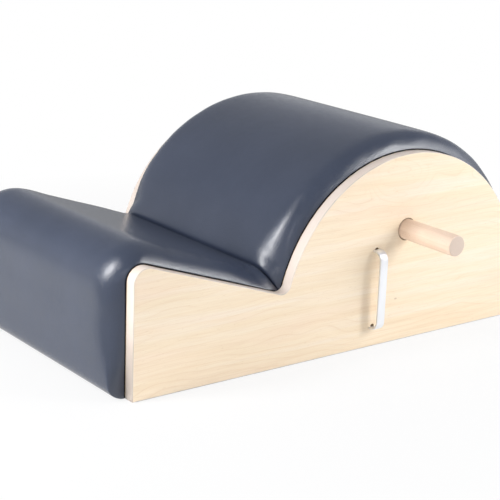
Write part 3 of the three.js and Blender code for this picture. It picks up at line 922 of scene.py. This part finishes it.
def set_fixings(kind, head_radius, head_height, shank_radius, recess, head_inside):
    """Sets one kind of fixing on both sides. head_inside says that its head faces the middle."""
    parts, replaced = [], []
    for hand, way in HANDS:
        names = sorted(n for n in nodes if n.startswith(kind) and f"_{hand}" in n)
        places, length = [], 0.0
        for name in names:
            low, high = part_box(name)
            near, far = sorted((abs(low.y), abs(high.y)))
            length = far - near - head_height
            y = near + head_height if head_inside else far - head_height
            places.append(((low.x + high.x) / 2, way * y, (low.z + high.z) / 2))
        outward = -way if head_inside else way
        sizes = {
            "Head radius": head_radius, "Head height": head_height,
            "Shank radius": shank_radius, "Shank length": length,
            "Recess radius": recess, "Recess depth": head_height * RECESS_SHARE,
            "Turn": (-math.pi / 2 * outward, 0.0, 0.0),
        }
        parts.append(grow(f"{kind}_{hand}", points_mesh(f"{kind}_{hand}_places", places), fixing, sizes))
        replaced += names
    joined = join(kind + "s", parts)
    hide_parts(*replaced)
    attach(joined, "frame")
    print(joined.name, len(replaced), "faces", len(joined.data.polygons))


def join(name, parts):
    """Several mesh objects as one."""
    bm = bmesh.new()
    for part in parts:
        bm.from_mesh(part.data)
    materials = list(parts[0].data.materials)
    for part in parts:
        bpy.data.objects.remove(part)
    return ended(bm, name, *materials)


set_fixings("side_bolt", 0.0065, 0.004, 0.003, 0.0028, head_inside=True)
set_fixings("handle_screw", 0.0038, 0.0028, 0.0018, 0.0017, head_inside=True)

# %% Rail screws
for rail_name in ("front", "valley", "crown", "back"):
    set_fixings(f"{rail_name}_rail_screw", 0.0044, 0.003, 0.0022, 0.002, head_inside=False)

# %% [markdown]
# Washers and inserts are rings. A ring is a bar section swept round a circle, so it takes its
# own short tree: a circle, a rectangle swept round it, and a copy on each point.


# %% Rings
def ring_tree(material):
    sizes = {"Inner radius": 0.002, "Outer radius": 0.006, "Thickness": 0.001}
    tree, given, result = new_tree("ring", sizes)
    total = sums(tree, "ADD", given["Inner radius"], given["Outer radius"])
    width = less(tree, given["Outer radius"], given["Inner radius"])
    round_path = {"Resolution": HEAD_SIDES, "Radius": times(tree, total, 0.5)}
    path = step(tree, "CurvePrimitiveCircle", round_path)
    bar = step(tree, "CurvePrimitiveQuadrilateral", {"Width": width, "Height": given["Thickness"]})
    ring = step(tree, "CurveToMesh", {"Curve": path, "Profile Curve": bar})
    copies = {"Points": given["Geometry"], "Instance": ring, "Rotation": (math.pi / 2, 0.0, 0.0)}
    return finish_tree(tree, result, step(tree, "InstanceOnPoints", copies), material)


def set_rings(kind, tree, inner, outer):
    names = sorted(n for n in nodes if n.startswith(kind))
    boxes = [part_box(n) for n in names]
    middles = [(low + high) / 2 for low, high in boxes]
    thickness = boxes[0][1].y - boxes[0][0].y
    sizes = {"Inner radius": inner, "Outer radius": outer, "Thickness": thickness}
    rings = grow(kind + "s", points_mesh(kind + "_places", middles), tree, sizes)
    turned_out(rings.data)
    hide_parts(*names)
    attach(rings, "frame")
    print(rings.name, len(names), "thickness in mm", round(thickness * 1000, 2))


set_rings("handle_washer", ring_tree(steel), 0.0021, 0.006)
set_rings("bolt_insert", ring_tree(brass), 0.0033, 0.0052)

# %% [markdown]
# The pads
#
# Seat and barrel each carry a block of foam under a tight leather cover. A cover is cut a
# little small and pulled over the foam, so it sits full and smooth, rolls over at its long
# edges, and squeezes against its neighbour in the crease. First comes the form that the
# upholsterer aims for, as a grid: stations along the seat or barrel, and at each of them a
# section that rolls down at both sides. The grid's even squares are what a cloth likes best.

# %% Stations along the pads
SPACING, FIT, COVER, HEM = 0.0068, 0.0003, 0.0012, 0.003
CREASE_ROLL, CREASE_SHARES = 0.005, (0.0, 0.08, 0.3, 0.62, 1.0)
WALL_LEAN, WALL_SHARES = 0.0006, (0.12, 0.34, 0.56, 0.78)
PINCH_REACH, PINCH_MIDDLE, PINCH_ROLL, PINCH_POWER = 0.110, 0.030, 0.026, 0.55
CORNER_GROWTH, CORNER_REACH, CORNER_ROLL, CORNER_STATIONS = 1.38, 0.075, 0.016, 15
BACK_TIGHTER = 0.014
FOOT_REACH, FOOT_ROLL, FOOT_ROUND, FOOT_DEPTH = 0.120, 0.001, 0.023, 0.008
FOOT_ANGLES = (0.0, *np.linspace(0.09, math.pi / 2, 9))


def shares(length):
    """Even shares from 0 to 1 for steps of about the spacing."""
    return np.linspace(0, 1, max(2, round(length / SPACING)) + 1)


def nearness(distance, reach):
    """1 at a place, falling softly to 0 at its reach."""
    return max(0.0, 1 - distance / reach) ** 2


def pinched(distance):
    """Roll and power of the section near the crease, where both pads squeeze each other."""
    pinch = nearness(abs(distance - PINCH_MIDDLE), PINCH_REACH - PINCH_MIDDLE)
    return SIDE_ROLL + PINCH_ROLL * pinch, ROLL_POWER - PINCH_POWER * pinch


def pillowed(distance):
    """Roll and power near the front corner, where the cover turns over three sides at once."""
    return SIDE_ROLL + CORNER_ROLL * nearness(distance, CORNER_REACH), ROLL_POWER


def crease_drop(distance):
    """How far the cover has rolled down at a distance from the crease."""
    into = max(0.0, 1 - distance / CREASE_ROLL)
    return CREASE_ROLL * (1 - math.sqrt(1 - into**2))


def crease_distances():
    """From the crease to the end of the pinch: close together in the roll, then spaced evenly."""
    roll = [CREASE_ROLL * s for s in CREASE_SHARES]
    return roll + list(CREASE_ROLL + (PINCH_REACH - CREASE_ROLL) * shares(PINCH_REACH)[1:])


def end_wall(at_distance):
    """The pad's wall in the crease, from just over its hem up to the roll. It leans a little."""
    full = PAD_DEPTH - CREASE_ROLL
    return [(full * s, *pinched(0.0), at_distance(-WALL_LEAN * (1 - s))) for s in WALL_SHARES]


def footed(z, roll):
    """The roll near the floor, where the cover is pulled tight round a square foot."""
    share = min(1.0, (z - BASE) / FOOT_REACH)
    return FOOT_ROLL + (roll - FOOT_ROLL) * share * share * (3 - 2 * share)


def foot_stations(edge):
    """The free end of a pad rolls in under itself at the foot."""
    stations = []
    for angle in FOOT_ANGLES:
        rise = max(FOOT_DEPTH, PAD_DEPTH * math.sin(angle)) if angle else HEM
        z = BASE + FOOT_ROUND * (1 - math.cos(angle))
        stations.append((rise, footed(z, SIDE_ROLL), ROLL_POWER, lambda h, z=z: (edge(h), z)))
    return stations


def seat_stations():
    stations = foot_stations(lambda h: -h)

    def corner(share):
        def at(h):
            radius = CORNER_RADIUS + h * CORNER_GROWTH
            angle = math.pi + (SLOPE_NORMAL - math.pi) * share
            return on_circle(corner_centre(h, radius), radius, angle)

        return at

    top = corner(0.0)(0.0)[1]
    start = BASE + FOOT_ROUND
    straight = top - start
    for share in shares(straight)[1:-1]:
        roll, power = pillowed(straight * (1 - share))
        stations.append((
            PAD_DEPTH, footed(start + straight * share, roll), power,
            lambda h, s=share: (-h, start + s * (corner(0.0)(h)[1] - start)),
        ))
    for share in np.linspace(0, 1, CORNER_STATIONS):
        stations.append((PAD_DEPTH, *pillowed(0.0), corner(share)))

    def near_valley(distance):
        def at(h):
            x, z = valley(h)
            back = distance + FIT + WALL_LEAN
            return x - back * COS, z + back * SIN

        return at

    def slope(share):
        def at(h):
            start, end = corner(1.0)(h), near_valley(PINCH_REACH)(h)
            return tuple(a + (b - a) * share for a, b in zip(start, end))

        return at

    run = math.dist(corner(1.0)(0.0), near_valley(PINCH_REACH)(0.0))
    for share in shares(run)[1:-1]:
        stations.append((PAD_DEPTH, *pillowed(run * share), slope(share)))
    for distance in reversed(crease_distances()):
        stations.append((PAD_DEPTH - crease_drop(distance), *pinched(distance), near_valley(distance)))
    return stations + end_wall(near_valley)[::-1]


def barrel_stations():
    def angle_at(h, distance):
        return barrel_angle(valley(h)) - (distance + FIT + WALL_LEAN) / (BARREL_RADIUS + h)

    def near_valley(distance):
        return lambda h: on_circle((BARREL_X, BARREL_Z), BARREL_RADIUS + h, angle_at(h, distance))

    stations = end_wall(near_valley)
    for distance in crease_distances():
        stations.append((PAD_DEPTH - crease_drop(distance), *pinched(distance), near_valley(distance)))
    length = BARREL_RADIUS * angle_at(0.0, PINCH_REACH)
    for share in shares(length)[1:]:
        angle = angle_at(0.0, PINCH_REACH) * (1 - share)
        z = BARREL_Z + BARREL_RADIUS * math.sin(angle)
        roll = SIDE_ROLL - BACK_TIGHTER * max(0.0, 1 - angle / (math.pi / 2))
        stations.append((
            PAD_DEPTH, footed(z, roll), ROLL_POWER,
            lambda h, s=share: on_circle(
                (BARREL_X, BARREL_Z), BARREL_RADIUS + h, angle_at(h, PINCH_REACH) * (1 - s)
            ),
        ))
    foot = foot_stations(lambda h: LENGTH + h)[::-1]
    straight = BARREL_Z - BASE - FOOT_ROUND
    for share in shares(straight)[1:-1]:
        z = BARREL_Z - share * straight
        stations.append((
            PAD_DEPTH, footed(z, SIDE_ROLL - BACK_TIGHTER), ROLL_POWER, lambda h, z=z: (LENGTH + h, z)
        ))
    return stations + foot


seat_path, barrel_path = seat_stations(), barrel_stations()
print("stations", len(seat_path), len(barrel_path))

# %% [markdown]
# From stations to a closed grid
#
# The section is a superellipse at each side, a little fuller than a quarter circle, as foam
# under a tight cover is. Part of the roll is spread evenly over the height, so that the pad's
# side leans in from its hem upwards. Right at the hem the cover dives in between pad and side:
# the section draws back by just under a millimetre there, which leaves the dark line that
# every upholstered edge has. That line is deepened by painted shade: the hem's columns wear a
# matt, nearly black material. One row of the grid runs from hem to hem over the top.

# %% Grid of a pad
ROLL_ANGLES = [math.radians(a) for a in (0, 2.2, 5, 9, 14, 21, 30, 40, 50, 60, 70, 80, 90)]
MIDDLE = list(np.linspace(-1, 1, 55)[1:-1])
TUCK, TUCK_HEIGHT, LEAN = 0.0009, 0.0025, 0.28


def section(rise, roll, power, short=0.0):
    """Points of one row, hem to hem: distance across and height over the deck."""
    edge = INNER_FACE - FIT
    bend = 2 / power
    half = [(edge, FIT)]
    for angle in ROLL_ANGLES:
        height = (rise - short - FIT) * math.sin(angle) ** bend
        tuck = TUCK * max(0.0, 1 - height / TUCK_HEIGHT) ** 2
        inward = roll * (1 - max(0.0, math.cos(angle)) ** bend) * (1 - LEAN)
        inward += roll * LEAN * math.sin(angle) ** bend
        half.append((edge - inward - tuck, FIT + height))
    flat = [(-(edge - roll) * m, rise - short) for m in MIDDLE]
    other = [(-y, h) for y, h in reversed(half)]
    return half + flat + other


def pad_grid(stations, shorts=None):
    """The pad's upper grid as an array of stations by points by 3, in the row frame.
    shorts says how far each station is held below its full height."""
    rows = []
    for number, (rise, roll, power, at) in enumerate(stations):
        row = []
        for y, h in section(rise, roll, power, 0.0 if shorts is None else shorts[number]):
            x, z = at(h)
            row.append((x - LENGTH / 2, y, z))
        rows.append(row)
    return np.array(rows)


TIGHT_BEND, BEND_REACH = 8.0, 0.050


def slack_shares(stations):
    """How freely the cover can swell at each station: 0 at the tight bends, 1 away from them."""
    path = np.array([at(rise) for rise, _, _, at in stations])
    steps = np.diff(path, axis=0)
    lengths = np.linalg.norm(steps, axis=1)
    along = np.concatenate([[0.0], np.cumsum(lengths)])
    headings = np.unwrap(np.arctan2(steps[:, 1], steps[:, 0]))
    turning = np.abs(np.diff(headings)) / ((lengths[1:] + lengths[:-1]) / 2)
    tight = along[1:-1][turning > TIGHT_BEND]
    share = np.clip(np.abs(along[:, None] - tight[None, :]).min(axis=1) / BEND_REACH, 0, 1)
    return share * share * (3 - 2 * share)


print("seat grid", pad_grid(seat_path).shape, "barrel grid", pad_grid(barrel_path).shape)

# %% [markdown]
# Filling the pads
#
# A cloth simulation gives what no formula has: a cover that swells against its hems, with
# soft pulls where it is held. The closed grid starts a few millimetres short. Its hems, its
# ends and its wall in the crease are pinned, gravity is off, and pressure blows the rest up
# for twenty frames. How far a point may move is capped smoothly, so the pad ends at its real
# height, the foam under it lets no point sink, and the smallest ripples are ironed out. At the
# tight bends of the front corner and the feet the foam holds the cover out already, so there
# the grid starts at its full height.


# %% Simulate a cover
def numbered(grid):
    """The number of each point of a grid, row by row."""
    return np.arange(grid.shape[0] * grid.shape[1]).reshape(grid.shape[:2])


def row_faces(lower, upper):
    """The faces between one row of point numbers and the next."""
    return [
        (lower[j], lower[j + 1], upper[j + 1], upper[j]) for j in range(len(lower) - 1)
    ]


def closed_mesh(name, grid):
    """The upper grid with its underside and its two ends, as one closed mesh."""
    index = numbered(grid).tolist()
    faces = []
    for lower, upper in zip(index, index[1:]):
        faces += row_faces(lower, upper)
        faces.append((lower[-1], lower[0], upper[0], upper[-1]))
    for row, flip in ((index[0], False), (index[-1], True)):
        for j in range((len(row) - 1) // 2):
            a, b, c, d = row[j], row[j + 1], row[-2 - j], row[-1 - j]
            face = tuple(dict.fromkeys((a, b, c, d) if flip else (a, d, c, b)))
            if len(face) > 2:
                faces.append(face)
    mesh = points_mesh(name, grid.reshape(-1, 3).tolist(), faces=faces)
    turned_out(mesh)
    return mesh


IRON_PASSES = 6
STILL, LEAST_SIZE, LEAST_CAP = 1e-7, 1e-9, 1e-6


def ironed(move):
    """The swelling without its smallest ripples. Pinned points stay where they are."""
    held = np.linalg.norm(move, axis=2, keepdims=True) < STILL
    for _ in range(IRON_PASSES):
        wider = np.pad(move, ((1, 1), (1, 1), (0, 0)), mode="edge")
        beside = wider[:-2, 1:-1] + wider[2:, 1:-1] + wider[1:-1, :-2] + wider[1:-1, 2:]
        move = np.where(held, move, move * 0.5 + beside * 0.125)
    return move


PRESSURE, EASE, FRAMES, HELD_COLUMNS = 40.0, 0.02, 20, 4


def read_vectors(collection, name, shape):
    """One vector of each item of a mesh, as an array of a shape."""
    values = np.zeros(int(np.prod(shape)), np.float32)
    collection.foreach_get(name, values)
    return values.reshape(shape)


def blown_up(name, grid, crease_rows, caps):
    """The grid after its cover has swelled against its pinned hems, each row by at most its cap."""
    carrier = placed(name, closed_mesh(name, grid))
    pins = carrier.vertex_groups.new(name="hems")
    index = numbered(grid)
    hems = index[:, :HELD_COLUMNS], index[:, -HELD_COLUMNS:]
    for held in (*hems, index[0], index[-1], index[crease_rows]):
        pins.add(held.ravel().tolist(), 1.0, "REPLACE")
    cloth = carrier.modifiers.new("cover", "CLOTH")
    settings = cloth.settings
    settings.quality = 5
    settings.mass = 0.3
    settings.tension_stiffness = 12
    settings.compression_stiffness = 12
    settings.shear_stiffness = 6
    settings.bending_stiffness = 0.8
    settings.shrink_min = settings.shrink_max = -EASE
    settings.use_pressure = True
    settings.uniform_pressure_force = PRESSURE
    settings.vertex_group_mass = pins.name
    settings.effector_weights.gravity = 0.0
    cloth.collision_settings.use_collision = False
    cloth.point_cache.frame_start, cloth.point_cache.frame_end = 1, FRAMES
    scene = bpy.context.scene
    for frame_number in range(1, FRAMES + 1):
        scene.frame_set(frame_number)
    deps = bpy.context.evaluated_depsgraph_get()
    swelled = carrier.evaluated_get(deps).to_mesh()
    moved = read_vectors(swelled.vertices, "co", grid.shape)
    outward = read_vectors(carrier.data.vertex_normals, "vector", grid.shape)
    bpy.data.objects.remove(carrier)
    scene.frame_set(1)
    move = moved - grid
    move -= outward * np.minimum(0.0, (move * outward).sum(axis=2, keepdims=True))
    size = np.linalg.norm(move, axis=2, keepdims=True)
    cap = np.maximum(np.asarray(caps), LEAST_CAP)[:, None, None]
    move *= cap * np.tanh(size / cap) / np.maximum(size, LEAST_SIZE)
    print(name, "swelled by up to", round(float(size.max()) * 1000, 2), "mm before the cap")
    return grid + ironed(move)


# %% [markdown]
# Cover and foam
#
# The swelled grid is the outside of the leather. The cover is a skin of real thickness, made
# by Solidify, and finished by one level of Subdivision. The foam is the same form a skin's
# thickness further in, closed underneath where it is glued to the deck.

# %% Make the pads
SWELL, CAP, CREEP = 0.005, 0.0047, 0.0006
HEM_COLUMNS = 2
FOAM_SIDE = INNER_FACE - 0.0045


def make_cover(name, grid):
    index = numbered(grid).tolist()
    faces = [face for pair in zip(index, index[1:]) for face in row_faces(*pair)]
    mesh = points_mesh(name, grid.reshape(-1, 3).tolist(), faces=faces)
    mesh.materials.append(leather)
    mesh.materials.append(painted_shade_hem)
    across = grid.shape[1] - 1
    for number, polygon in enumerate(mesh.polygons):
        polygon.use_smooth = True
        # The hem's columns take the second slot: nearly black painted shade for the groove's dark line.
        from_hem = min(number % across, across - 1 - number % across)
        polygon.material_index = int(from_hem < HEM_COLUMNS)
    cover = placed(name, mesh)
    if outward_share(mesh) < 0.5:
        mesh.flip_normals()
    skin = cover.modifiers.new("skin", "SOLIDIFY")
    skin.thickness, skin.offset = COVER, -1
    smooth = cover.modifiers.new("smooth", "SUBSURF")
    smooth.levels = smooth.render_levels = 1
    return cover


def outward_share(mesh):
    """Share of faces that look away from the pad's middle, taken at floor level."""
    centre = sum((v.co for v in mesh.vertices), Vector()) / len(mesh.vertices)
    centre.z = 0.0
    return sum(p.normal.dot(p.center - centre) > 0 for p in mesh.polygons) / len(mesh.polygons)


def make_foam(name, grid):
    mesh = closed_mesh(name, grid)
    outward = read_vectors(mesh.vertex_normals, "vector", (len(mesh.vertices), 3))
    places = grid.reshape(-1, 3) - outward * (COVER + 2 * FIT)
    places[:, 1] = np.clip(places[:, 1], -FOAM_SIDE, FOAM_SIDE)
    mesh.vertices.foreach_set("co", places.astype(np.float32).ravel())
    mesh.materials.append(foam)
    mesh.update()
    return placed(name, mesh)


WALL_ROWS = len(WALL_SHARES) + 3
PADS = (("seat", seat_path, slice(-WALL_ROWS, None)), ("barrel", barrel_path, slice(0, WALL_ROWS)))
for part, stations, crease_rows in PADS:
    grid = pad_grid(stations)
    aimed, slack = grid, slack_shares(stations)
    slack[crease_rows] = 0.0
    short = pad_grid(stations, SWELL * slack)
    grid = blown_up(f"{part}_blank", short, crease_rows, CAP * slack + CREEP)
    away = np.linalg.norm(grid - aimed, axis=2) * 1000
    print(part, "mm from its aim: middle", np.median(away).round(2), "most", away.max().round(2))
    cover = make_cover(f"{part}_leather", grid)
    block = make_foam(f"{part}_foam_block", grid)
    for piece, node, slot in ((cover, f"{part}_cover", "leather"), (block, f"{part}_foam", "foam")):
        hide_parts(node)
        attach(piece, "frame")
    print(cover.name, "faces", len(cover.data.polygons))

# %% [markdown]
# Floor, backdrop and light
#
# A catalogue picture is shot on white. The floor is a plain pale sheet that keeps the soft
# shadow near the object, and is washed towards white only for the camera and for reflections.
# In reflections it darkens towards the camera's corner and behind the object, and the room
# darkens towards its ceiling, as a real studio does. Leather shows that well: the front is
# pale but dark along its near edge, and the seat is paler than the barrel. The lamps are five
# softboxes: a tall key on the right, a wide weak one beside it, one on the left that draws the
# long highlight down the barrel's rolled edge, a low one for the front, which reflections
# leave out, and a small one near the camera.


# %% Floor
BEFORE, BEHIND = (-0.8, -0.6, 0.0), (0.61, 0.79, 0.0)
WHITE = (1.0, 1.0, 1.0, 1.0)
DARKER_BEFORE = [(0.62, 1.0), (0.80, 0.45)]
DARKER_BEHIND, BEHIND_SCALE = [(0.0, 1.0), (0.15, 0.8), (0.45, 0.35)], 2.0
WASH, WASH_SCALE = [(0.22, 0.84), (0.55, 1.0)], 2.0
FLOOR_SIZE = 12


def seen_by(tree):
    """Two switches: one for camera rays, one for rays that gloss or glass sends out."""
    rays = add(tree, "ShaderNodeLightPath").outputs
    return rays["Is Camera Ray"], sums(tree, "MAXIMUM", rays["Is Glossy Ray"], rays["Is Transmission Ray"])


def towards(tree, vector, way):
    """How far a vector reaches in a way."""
    made = add(tree, "ShaderNodeVectorMath", {0: vector, 1: way}, operation="DOT_PRODUCT")
    return made.outputs["Value"]


def mixed(tree, share, under, over):
    return add(tree, "ShaderNodeMixShader", {0: share, 1: under, 2: over}).outputs[0]


def make_floor():
    material = bpy.data.materials.new("studio_floor")
    material.use_nodes = True
    tree = material.node_tree
    tree.nodes.clear()
    out = add(tree, "ShaderNodeOutputMaterial")
    whole = place(tree)[0]
    tone = layer(tree, noise(tree, whole, 3.0), srgb(238, 238, 238), srgb(242, 242, 242))
    paper = add(tree, "ShaderNodeBsdfDiffuse", {"Color": tone}).outputs[0]
    camera_ray, mirrored = seen_by(tree)
    before = shade(tree, towards(tree, whole, BEFORE), DARKER_BEFORE)
    behind = sums(tree, "DIVIDE", towards(tree, whole, BEHIND), BEHIND_SCALE)
    behind = shade(tree, behind, DARKER_BEHIND)
    strength = sums(tree, "MAXIMUM", camera_ray, times(tree, before, behind))
    white = add(tree, "ShaderNodeEmission", {"Color": WHITE, "Strength": strength}).outputs[0]
    from_middle = add(tree, "ShaderNodeVectorMath", {0: whole}, operation="LENGTH").outputs["Value"]
    far = shade(tree, sums(tree, "DIVIDE", from_middle, WASH_SCALE), WASH)
    wash = times(tree, sums(tree, "MAXIMUM", camera_ray, mirrored), far)
    tree.links.new(mixed(tree, wash, paper, white), out.inputs["Surface"])
    bm = bmesh.new()
    bmesh.ops.create_grid(bm, x_segments=2, y_segments=2, size=FLOOR_SIZE)
    floor = ended(bm, "studio_floor", material)


make_floor()
print("floor", 2 * FLOOR_SIZE, "m wide")

# %% World
ROOM = [(0.0, srgb(248, 249, 252)), (0.15, srgb(222, 225, 232)), (0.45, srgb(176, 179, 187))]
ROOM_BEHIND, ROOM_LIGHT = [(0.6, 1.0), (0.95, 0.9)], 0.64


def background(tree, colour, strength):
    return add(tree, "ShaderNodeBackground", {"Color": colour, "Strength": strength}).outputs[0]


def make_world():
    """White to the camera. As a light and in reflections it darkens from the horizon upwards."""
    world = bpy.data.worlds.new("studio")
    world.use_nodes = True
    tree = world.node_tree
    tree.nodes.clear()
    out = add(tree, "ShaderNodeOutputWorld")
    camera_ray, mirrored = seen_by(tree)
    way = add(tree, "ShaderNodeTexCoord").outputs["Generated"]
    height = add(tree, "ShaderNodeSeparateXYZ", {0: way}).outputs[2]
    room = shade(tree, height, ROOM)
    falloff = shade(tree, towards(tree, way, BEHIND), ROOM_BEHIND)
    lit, reflected = background(tree, room, ROOM_LIGHT), background(tree, room, falloff)
    for_object = mixed(tree, mirrored, lit, reflected)
    surface = mixed(tree, camera_ray, for_object, background(tree, WHITE, 1.0))
    tree.links.new(surface, out.inputs["Surface"])
    bpy.context.scene.world = world


make_world()


# %% Lamps
def softbox(name, place_at, target, width, height, power):
    data = bpy.data.lights.new(name, "AREA")
    data.shape = "RECTANGLE"
    data.size, data.size_y = width, height
    data.energy = power
    lamp = placed(name, data)
    lamp.location = place_at
    lamp.rotation_euler = (Vector(target) - Vector(place_at)).to_track_quat("-Z", "Y").to_euler()
    return lamp


softbox("key_softbox", (1.35, -1.65, 1.05), (0.0, 0.0, 0.15), 0.55, 1.1, 24)
softbox("right_softbox", (1.82, -0.97, 0.90), (0.0, 0.0, 0.15), 1.1, 0.9, 7)
softbox("left_softbox", (-1.62, 0.12, 0.98), (-0.1, -0.15, 0.2), 0.44, 0.92, 25)
low_fill = softbox("low_fill", (-1.95, -1.0, 0.25), (-0.3, -0.1, 0.1), 0.7, 0.4, 4.4)
low_fill.visible_glossy = False
softbox("camera_fill", (-1.35, -1.75, 1.05), (0.0, 0.0, 0.2), 0.25, 0.25, 1.8)
bpy.context.scene.view_settings.view_transform = "Standard"
